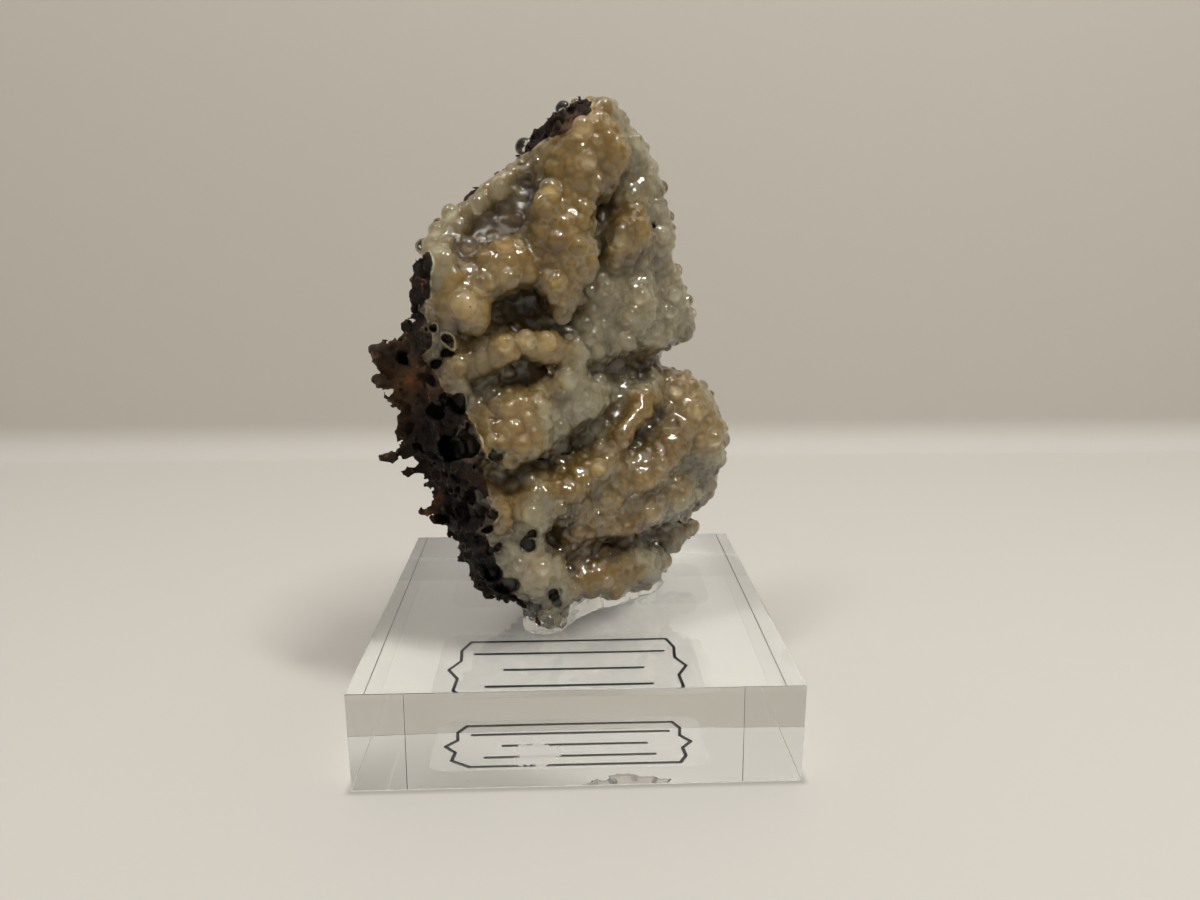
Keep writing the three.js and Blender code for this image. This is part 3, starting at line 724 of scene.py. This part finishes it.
    def describe(self, piece):
        """Keeps on the stone's mesh all that its material follows."""
        lattice = self.lattice
        points = mesh_points(piece)
        outward = facing(self.field, lattice, points)
        full = np.clip(0.5 - self.field / CELL, 0, 1)
        closed = lattice.read(blurred(full, 2.2), points + 0.8 * outward)
        fine = lattice.read(blurred(full, 0.55), points)
        corner = np.clip(np.round(points / CELL).astype(int) - lattice.first, 0,
                         np.array(lattice.shape) - 1)
        bead = self.bead_of[tuple(corner.T)]
        tones = self.chance.random_sample(self.bead_count)
        note(piece, "crust", lattice.read(self.crust, points))
        # Measures that lead to painted shade: hollows, their flanks and undersides that face down.
        downward = -facing(blurred(self.field, 1.2), lattice, points)[:, 2]
        note(piece, "closed", eased(0.3, 0.72, closed))
        note(piece, "flank", eased(0.2, 0.42, closed))
        note(piece, "under", eased(-0.1, 0.8, downward))
        note(piece, "edge", eased(0.03, 0.2, 0.5 - fine))
        # Measures that lead to painted highlights: gaps between beads and rings round drops; gap also
        # leads to painted shade in bead middles.
        note(piece, "gap", lattice.read(self.second - self.nearest, points))
        note(piece, "tone", np.where(bead < 0, 0.5, tones[bead]))
        note(piece, "hole", lattice.read(self.hole_share, points))
        note(piece, "rim", lattice.read(self.rim_share, points))
        note(piece, "ring", lattice.read(self.ring, points))
        note(piece, "behind", eased(8, 13, points[:, 1]))
        note(piece, "glossy", self.gloss(points))
        for name in TINTS:
            note(piece, name, self.tint(name, points))


def make_stone():
    """The specimen's finished mesh, and the field it was made from."""
    stone = Stone()
    stone.roughen_matrix()
    stone.add_beads()
    stone.add_glaze()
    stone.cut_holes()
    stone.keep_in_box()
    pieces = []
    for name, field, least in (("smithsonite_crust", stone.field, math.inf),
                               ("clear_layer", stone.glaze, 60)):
        piece = skin_mesh(name, field, stone.lattice, MOST_FACES, least)
        stone.describe(piece)
        settle(piece, FROM_PLATE)
        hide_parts("smithsonite")
        pieces.append(piece)
    stone.field = np.minimum(stone.field, stone.glaze)
    return pieces, stone


# ---- the glue ---------------------------------------------------------------------------------

MENISCUS = 1.5                    # radius of the hollow fillet that the wet glue drew up to
GLUE_FACES = 40_000
THIN_OUT = 0.04                   # the glue ends where its film would be thinner than this
CONTACT = 0.02                    # clear pieces dip this far into each other, so no air shows
GLUE_TOP = 4.5                    # the glue climbs no higher than this
GLUE_REGION = [[0.6, 1.2, 2.8], [6, 4.6, 3.6], [11.5, 5.8, 4.4], [17, 6.6, 4.2], [19.6, 8, 3.6]]


def make_glue(stone):
    """Clear glue between the foot and the block, drawn up into hollow fillets."""
    lattice = stone.lattice
    x, y, z = lattice.axes()
    both = np.minimum(stone.field, z + 0 * (x + y))
    grown = field_of(*skin_points(both - MENISCUS, lattice), lattice)
    closed = grown + MENISCUS
    around = np.full(lattice.shape, BAND, np.float32)
    for (ax, ay, radius), (bx, by, _) in zip(GLUE_REGION, GLUE_REGION[1:]):
        length = math.hypot(bx - ax, by - ay)
        along = np.clip(((x - ax) * (bx - ax) + (y - ay) * (by - ay)) / length ** 2, 0, 1)
        away = np.hypot(x - ax - along * (bx - ax), y - ay - along * (by - ay)) - radius
        around = joined(around, away + 0 * z, 1)
    glue = np.maximum(np.maximum(closed, around), -(stone.field + CONTACT))
    glue = np.maximum(glue, closed - z + THIN_OUT)
    glue = np.maximum(glue, np.maximum(-(z + CONTACT), z - GLUE_TOP)).astype(np.float32)
    piece = skin_mesh("set_glue", glue, lattice, GLUE_FACES)
    piece.visible_shadow = False     # clear, so the light goes through it
    settle(piece, FROM_PLATE)
    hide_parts("adhesive")
    return piece


# ---- the block and its labels -----------------------------------------------------------------

def from_bmesh(name, shell):
    """A new object of a bmesh, which is freed."""
    mesh = bpy.data.meshes.new(name)
    shell.to_mesh(mesh)
    shell.free()
    return linked(name, mesh)


def make_block():
    """The clear block, its edges rounded by polishing."""
    low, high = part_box("acrylic_base")
    low.z -= CONTACT * MM
    shell = bmesh.new()
    bmesh.ops.create_cube(shell, size=1)
    bmesh.ops.scale(shell, vec=high - low, verts=shell.verts)
    bmesh.ops.translate(shell, vec=(low + high) / 2, verts=shell.verts)
    bmesh.ops.bevel(shell, geom=shell.edges, offset=0.1 * MM, offset_type="OFFSET",
                    affect="EDGES", segments=3, profile=0.5, material=-1)
    piece = from_bmesh("acrylic_block", shell)
    piece.visible_shadow = False     # clear, so the light goes through it
    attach(piece, "root")
    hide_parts("acrylic_base")
    return piece


# The border printed on the front label: corners of a traditional plaque, each [x, y], in mm.
LINE = 0.42                       # width of the printed line
INK = 0.03                        # thickness of the printed ink
PLAQUE = [
    [-13.9, -4.3], [12.1, -4.3], [12.9, -6.6], [12.7, -9.3], [13.9, -11.5], [12.7, -13.7],
    [12.9, -16.4], [12.1, -18.6], [-12.7, -18.6], [-14.9, -16.4], [-14.7, -13.7], [-16, -11.5],
    [-14.7, -9.3], [-14.9, -6.6],
]
RULES = [[-13, 11.4, -7.6], [-9, 8.4, -11.7], [-11, 9.2, -15.6]]     # left, right, y


def printed_strip(shell, start, end):
    """One straight printed stroke with round ends, a film of ink thick."""
    start, end = Vector((*start, 0)) * MM, Vector((*end, 0)) * MM
    ink = bmesh.ops.create_cone(shell, cap_ends=True, segments=12, radius1=LINE / 2 * MM,
                                radius2=LINE / 2 * MM, depth=INK * MM)["verts"]
    along = (end - start).normalized()
    for vertex in ink:
        vertex.co += end if vertex.co.dot(along) > 0 else start


def make_print():
    """The printed plaque and its ruled lines, on the film's upper side under the block."""
    shell = bmesh.new()
    for start, end in zip(PLAQUE, PLAQUE[1:] + PLAQUE[:1]):
        printed_strip(shell, start, end)
    for left, right, y in RULES:
        printed_strip(shell, [left, y], [right, y])
    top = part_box("front_label")[1].z
    bmesh.ops.translate(shell, vec=(0, 0, top + 1.5 * INK * MM), verts=shell.verts)
    piece = from_bmesh("label_print", shell)
    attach(piece, "root")
    return piece


# ---- materials --------------------------------------------------------------------------------

class Value:
    """A node's output that sums can be written with."""

    def __init__(self, paint, socket):
        self.paint, self.socket = paint, socket

    def _math(self, operation, first, second):
        """The output of a Math node."""
        return self.paint.node("ShaderNodeMath", {"operation": operation}, {0: first, 1: second})

    def __add__(self, other):
        return self._math("ADD", self, other)

    def __sub__(self, other):
        return self._math("SUBTRACT", self, other)

    def __rsub__(self, other):
        return self._math("SUBTRACT", other, self)

    def __mul__(self, other):
        return self._math("MULTIPLY", self, other)

    __radd__, __rmul__ = __add__, __mul__


class Paint:
    """One material and its nodes."""

    def __init__(self, name):
        self.material = bpy.data.materials.new(name)
        self.material.use_nodes = True
        self.tree = self.material.node_tree
        self.tree.nodes.clear()

    def node(self, kind, settings=None, sockets=None, output=0):
        """A new node with its settings and the values or links of its sockets."""
        made = self.tree.nodes.new(kind)
        for name, value in (settings or {}).items():
            setattr(made, name, value)
        for name, value in (sockets or {}).items():
            if isinstance(value, Value):
                self.tree.links.new(value.socket, made.inputs[name])
            else:
                made.inputs[name].default_value = value
        return Value(self, made.outputs[output])

    def mark(self, name):
        """A number kept on the piece."""
        return self.node("ShaderNodeAttribute", {"attribute_name": name}, output="Fac")

    def place(self):
        """Where a point lies on the piece."""
        return self.node("ShaderNodeTexCoord", output="Object")

    def noise(self, size, detail=3, rough=0.55, seed=0):
        """Noise from 0 to 1, with lumps of a size in millimetres."""
        where = self.node("ShaderNodeMapping", sockets={
            "Vector": self.place(), "Location": (seed, 2 * seed, 3 * seed)})
        return self.node("ShaderNodeTexNoise", sockets={
            "Vector": where, "Scale": 1 / (size * MM), "Detail": detail, "Roughness": rough})

    def step(self, value, low, high, start=0, end=1):
        """A value eased from low to high into start to end."""
        return self.node("ShaderNodeMapRange", {"interpolation_type": "SMOOTHSTEP"}, {
            "Value": value, "From Min": low, "From Max": high, "To Min": start, "To Max": end})

    def mix(self, share, first, second):
        """One colour over another."""
        return self.node("ShaderNodeMix", {"data_type": "RGBA"}, {
            0: share, 6: first, 7: second}, output=2)

    def coated(self, colour, *coats):
        """A colour with coats over it, each a share and the coat's colour."""
        for share, over in coats:
            colour = self.mix(share, colour, over)
        return colour

    def axes(self):
        """The x, y and z of a place on the piece, in metres."""
        return [
            self.node("ShaderNodeSeparateXYZ", sockets={0: self.place()}, output=axis)
            for axis in range(3)
        ]

    def bump(self, height, strength, depth):
        """Small relief; its depth is in millimetres."""
        return self.node("ShaderNodeBump", sockets={
            "Height": height, "Strength": strength, "Distance": depth * MM})

    def surface(self, **sockets):
        """A principled surface; socket names are written with underscores."""
        named = {name.replace("_", " "): value for name, value in sockets.items()}
        return self.node("ShaderNodeBsdfPrincipled", {"subsurface_method": "RANDOM_WALK"}, named)

    def blended(self, share, first, second):
        """One surface over another."""
        return self.node("ShaderNodeMixShader", sockets={0: share, 1: first, 2: second})

    def finish(self, shader):
        """The material, with a shader on its surface."""
        out = self.tree.nodes.new("ShaderNodeOutputMaterial")
        self.tree.links.new(shader.socket, out.inputs["Surface"])
        return self.material


def rgb(red, green, blue):
    """A colour from screen values of 0 to 255."""
    def linear(value):
        value /= 255
        return value / 12.92 if value <= 0.04045 else ((value + 0.055) / 1.055) ** 2.4
    return linear(red), linear(green), linear(blue), 1


def crust_colour(paint, cloud, grain, tone, closed):
    """Honey and grey-green crust, paler on hole rims, darker in holes; painted highlights between beads
    and round drops; painted shade in hollows, on flanks, undersides and bead middles.
    """
    gap = paint.mark("gap")
    honey = paint.mix(cloud, rgb(172, 141, 70), rgb(208, 182, 116))
    honey = paint.mix(paint.step(grain, 0.55, 0.75, 0, 0.3), honey, rgb(176, 132, 64))
    clear = paint.mix(cloud, rgb(192, 182, 152), rgb(228, 218, 188))
    amount = paint.mark("honey") - paint.mark("grey") * 0.9 + (cloud - 0.5) * 0.7
    amount = amount + (tone - 0.5) * 0.3
    # Painted shade on undersides that face down and on the flanks of hollows.
    under = paint.mark("under") * 0.55 + paint.mark("flank") * 0.35 + (cloud - 0.5) * 0.4
    # Painted shade in bead middles and painted pale outlines between beads, for the look of clear
    # beads.
    painted_inner_shade = paint.step(gap, 0.4, 1.3, 0, 0.6) * paint.step(tone, 0.3, 1, 0.2, 1)
    outline = paint.step(gap, 0.05, 0.34, 0.75, 0) * paint.step(tone, 0.1, 0.9, 0.3, 1)
    outline = outline * paint.step(paint.noise(5, 2, seed=33), 0.36, 0.6, 0.3, 1)
    speck = paint.step(paint.noise(0.42, 2, seed=27), 0.7, 0.74)
    return paint.coated(
        paint.mix(paint.step(amount, -0.25, 0.4), clear, honey),
        (paint.mark("pale") * 0.5, rgb(228, 208, 172)),
        (paint.mark("stain") * 0.5, rgb(150, 104, 52)),
        # Painted shade on undersides, flanks and bead middles, painted highlights between beads and
        # round drops, then painted shade in hollows and at the listed dim places.
        (paint.step(under, 0.05, 0.8, 0, 0.8), rgb(120, 106, 79)),
        (painted_inner_shade, rgb(112, 92, 56)),
        (outline, rgb(238, 230, 204)),
        (paint.mark("ring") * 0.65, rgb(242, 234, 210)),
        (paint.step(closed, 0.4, 1, 0, 0.62), rgb(98, 76, 46)),
        (paint.mark("dim") * 0.66, rgb(100, 78, 48)),
        (speck * paint.step(paint.noise(4, 2, seed=28), 0.45, 0.6), rgb(60, 38, 20)),
        (paint.mark("rim") * 0.6, rgb(140, 128, 108)),
        (paint.mark("hole"), rgb(20, 13, 9)),
    )


def matrix_colour(paint, ground):
    """Brown-black matrix, rusty and chalky behind, with stains and worn edges."""
    behind = paint.mark("behind")
    rusty = paint.step(paint.noise(6, 4, 0.7, seed=60), 0.46, 0.62, 0, 0.75)
    chalky = paint.step(paint.noise(3, 5, 0.75, seed=61), 0.6, 0.68, 0, 0.7)
    chalky = chalky * paint.step(paint.noise(11, 2, seed=62), 0.45, 0.6)
    grit = paint.step(paint.noise(0.8, 3, seed=15), 0.56, 0.7)
    return paint.coated(
        paint.mix(paint.step(ground, 0.4, 0.7), rgb(15, 11, 9), rgb(48, 34, 24)),
        (rusty * (behind + 0.1), rgb(84, 62, 44)),
        (chalky * (behind + 0.3), rgb(138, 124, 102)),
        (paint.mark("stain") * 0.75, rgb(106, 78, 52)),
        (paint.mark("edge") * grit * 0.8, rgb(122, 92, 62)),
        (paint.mark("black") * 0.8, rgb(13, 10, 9)),
        (paint.mark("orange") * 0.7, rgb(134, 84, 40)),
        (paint.mark("rim") * 0.6, rgb(122, 110, 94)),
        (paint.mark("hole") * 0.9, rgb(8, 7, 7)),
    )


def stone_paint():
    """The crust's glassy surface, and the dull pitted matrix where it ends."""
    paint = Paint("smithsonite_on_matrix")
    tone, closed, glossy = paint.mark("tone"), paint.mark("closed"), paint.mark("glossy")
    cloud = paint.noise(3.2, 4)
    grain = paint.noise(0.5, 3, seed=4)
    coat = glossy * paint.step(closed, 0.3, 0.9, 0.8, 0.1) * (1 - paint.mark("hole"))
    crust = paint.surface(
        Base_Color=crust_colour(paint, cloud, grain, tone, closed),
        Roughness=paint.step(glossy, 0, 1, 0.42, 0.2), IOR=1.55,
        Subsurface_Weight=1.0, Subsurface_Radius=(1.0, 0.9, 0.72), Subsurface_Scale=2.2 * MM,
        Normal=paint.bump(paint.noise(0.34, 3, seed=9), 0.2, 0.06),
        Coat_Weight=coat, Coat_Roughness=0.06, Coat_IOR=1.5,
    )
    ground = paint.noise(1.4, 5, 0.65, seed=12)
    matrix = paint.surface(
        Base_Color=matrix_colour(paint, ground),
        Roughness=paint.step(ground, 0.35, 0.65, 0.45, 0.85), IOR=1.5, Specular_IOR_Level=0.22,
        Normal=paint.bump(paint.noise(0.5, 6, 0.7, seed=20), 0.7, 0.3),
    )
    share = paint.step(paint.mark("crust") + (grain - 0.5) * 0.3, 0.35, 0.6)
    return paint.finish(paint.blended(share, matrix, crust))


def glaze_paint():
    """The clear outer smithsonite, through which the crust's colour shows, with painted shade at the
    listed dim places.
    """
    paint = Paint("clear_smithsonite")
    body = paint.mix(paint.mark("honey"), rgb(240, 240, 234), rgb(244, 236, 214))
    # Painted shade at the listed dim places.
    body = paint.mix(paint.mark("dim") * 0.8, body, rgb(214, 196, 164))
    dull = paint.mark("dim") * 0.3
    fine = paint.bump(paint.noise(0.4, 3, seed=9), 0.15, 0.05)
    return paint.finish(paint.surface(
        Base_Color=body, Roughness=paint.step(paint.mark("glossy"), 0, 1, 0.1, 0.03) + dull,
        IOR=1.6, Transmission_Weight=1.0, Normal=fine,
    ))


def clear_paint(name, tone, clouding):
    """Clear cast acrylic or set glue: see-through, with the faintest clouding."""
    paint = Paint(name)
    haze = paint.step(paint.noise(6, 3, seed=31), 0.5, 0.8, 0, clouding)
    surface = paint.surface(Base_Color=tone, Roughness=haze, IOR=1.49, Transmission_Weight=1.0)
    return paint.finish(surface)


PALE_PATCH = (-4.7, 4.2)                # middle of a pale rough patch on the block's front face: x and z, in mm
PALE_PATCH_SIZE = (2.8, 1.6)


def block_paint():
    """Clear cast acrylic with a pale rough patch on its front face and a little dust."""
    paint = Paint("clear_acrylic")
    clear = paint.surface(Base_Color=rgb(250, 252, 252), Roughness=0.0, IOR=1.49,
                          Transmission_Weight=1.0)
    x, y, z = paint.axes()
    across = (x - PALE_PATCH[0] * MM) * (1 / (PALE_PATCH_SIZE[0] * MM))
    up = (z - PALE_PATCH[1] * MM) * (1 / (PALE_PATCH_SIZE[1] * MM))
    away = across * across + up * up + (paint.noise(1.3, 3, seed=50) - 0.5) * 3
    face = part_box("acrylic_base")[0].y
    front = paint.step(y, face + 0.02 * MM, face + 0.1 * MM, 1, 0)
    pale_patch = paint.step(away, 0.7, 1.0, 0.85, 0) * front
    dust = paint.step(paint.noise(0.7, 1, seed=52), 0.8, 0.83, 0, 0.5)
    dust = dust * paint.step(paint.noise(9, 1, seed=53), 0.5, 0.6)
    # The pale rough patch on the front face.
    worn = paint.surface(Base_Color=rgb(250, 250, 248), Roughness=0.8)
    dusty = paint.surface(Base_Color=rgb(90, 88, 84), Roughness=0.9)
    return paint.finish(paint.blended(pale_patch, paint.blended(dust, clear, dusty), worn))


def film_paint(name, tone, solid):
    """Clear label film, which lets some of the table's light through."""
    paint = Paint(name)
    fibre = paint.noise(1.2, 4, seed=40)
    colour = paint.mix(fibre, tone, (1, 1, 1, 1))
    surface = paint.surface(Base_Color=colour, Roughness=0.45, Alpha=solid)
    return paint.finish(surface)


def ink_paint():
    """Black ink, greyer where it is worn."""
    paint = Paint("printed_ink")
    wear = paint.step(paint.noise(0.5, 4, seed=44), 0.62, 0.75)
    colour = paint.mix(wear, rgb(28, 28, 30), rgb(70, 70, 72))
    return paint.finish(paint.surface(Base_Color=colour, Roughness=0.6))


# ---- the camera, the lights and the stage -----------------------------------------------------

def make_camera():
    """The camera at the viewpoint."""
    camera = bpy.data.cameras.new("camera")
    camera.lens = EYE_LENS
    camera.sensor_width = 36
    camera.clip_start = 2 * MM
    holder = linked("camera", camera)
    holder.location = Vector(EYE) * MM
    holder.rotation_euler = (math.pi / 2 - EYE_PITCH, 0, EYE_TURN)
    bpy.context.scene.camera = holder


WALL = 131                         # the table meets the wall here, in millimetres
STAGE_SIDE = 900
CORNER = 9                         # radius of the soft corner between them
CORNER_STEPS = 12
WARM = (1, 0.96, 0.9)              # colour of the lamps


def make_stage():
    """A pale table with a warm grey wall behind it."""
    sheet = bmesh.new()
    bends = [
        (WALL - CORNER + CORNER * math.sin(t), CORNER - CORNER * math.cos(t))
        for t in (math.pi / 2 * i / CORNER_STEPS for i in range(CORNER_STEPS + 1))
    ]
    profile = [(-STAGE_SIDE, 0), *bends, (WALL, STAGE_SIDE)]
    line = [sheet.verts.new((-STAGE_SIDE * MM, y * MM, z * MM)) for y, z in profile]
    edges = [sheet.edges.new(pair) for pair in zip(line, line[1:])]
    drawn = bmesh.ops.extrude_edge_only(sheet, edges=edges)["geom"]
    moved = [v for v in drawn if isinstance(v, bmesh.types.BMVert)]
    bmesh.ops.translate(sheet, verts=moved, vec=(2 * STAGE_SIDE * MM, 0, 0))
    bmesh.ops.recalc_face_normals(sheet, faces=sheet.faces)
    stage = from_bmesh("table", sheet)
    for face in stage.data.polygons:
        face.use_smooth = True
    stage.data.materials.append(table_paint())


def table_paint():
    """A pale table with a painted shadow under the block, which casts no real shadow, and a warm grey
    wall.
    """
    paint = Paint("table_and_wall")
    across, along, height = paint.axes()
    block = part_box("acrylic_base")[1]
    # Painted shadow: the table's colour darkened over the block's footprint.
    under = paint.step(across * across, block.x ** 2, (block.x + MM) ** 2, 1, 0)
    under = under * paint.step(along * along, block.y ** 2, (block.y + MM) ** 2, 1, 0)
    colour = paint.mix(paint.step(height, 0, CORNER * MM), rgb(214, 212, 208), rgb(206, 201, 192))
    colour = paint.mix(under, colour, rgb(174, 172, 168))
    return paint.finish(paint.surface(Base_Color=colour, Roughness=0.7))


def area_light(name, place, target, size, power):
    """A warm rectangular light aimed at a target; places and sizes are in millimetres."""
    light = bpy.data.lights.new(name, "AREA")
    light.shape = "RECTANGLE"
    light.size, light.size_y = size[0] * MM, size[1] * MM
    light.energy = power
    light.color = WARM
    holder = linked(name, light)
    holder.location = Vector(place) * MM
    aim = (Vector(target) - Vector(place)).normalized()
    holder.rotation_euler = aim.to_track_quat("-Z", "Y").to_euler()


def make_lights():
    """A dim room, a broad ceiling light and two lamps that give the glints."""
    world = bpy.data.worlds.new("room")
    world.use_nodes = True
    sky = world.node_tree.nodes["Background"].inputs
    sky["Color"].default_value = (1, 0.97, 0.93, 1)
    sky["Strength"].default_value = 0.22
    bpy.context.scene.world = world
    area_light("ceiling", (110, -10, 620), (0, 10, 0), (800, 500), 1.35)
    area_light("lamp_left", (-210, -160, 520), (0, 0, 40), (46, 150), 0.6)
    area_light("lamp_right", (190, -190, 500), (0, 0, 40), (46, 150), 1.2)


# ---- all together -----------------------------------------------------------------------------

make_camera()
make_lights()
make_stage()
(stone_piece, glaze_piece), stone = make_stone()
stone_piece.data.materials.append(stone_paint())
glaze_piece.data.materials.append(glaze_paint())
make_glue(stone).data.materials.append(clear_paint("clear_glue", rgb(250, 250, 248), 0.05))
make_block().data.materials.append(block_paint())
make_print().data.materials.append(ink_paint())
for node, tone, solid in (
    ("front_label", rgb(240, 240, 235), 0.14),
    ("rear_label", rgb(244, 244, 238), 0.1),
):
    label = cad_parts[node]
    label.data.materials.clear()
    label.data.materials.append(film_paint(node + "_film", tone, solid))

bpy.context.scene.view_settings.view_transform = "Standard"
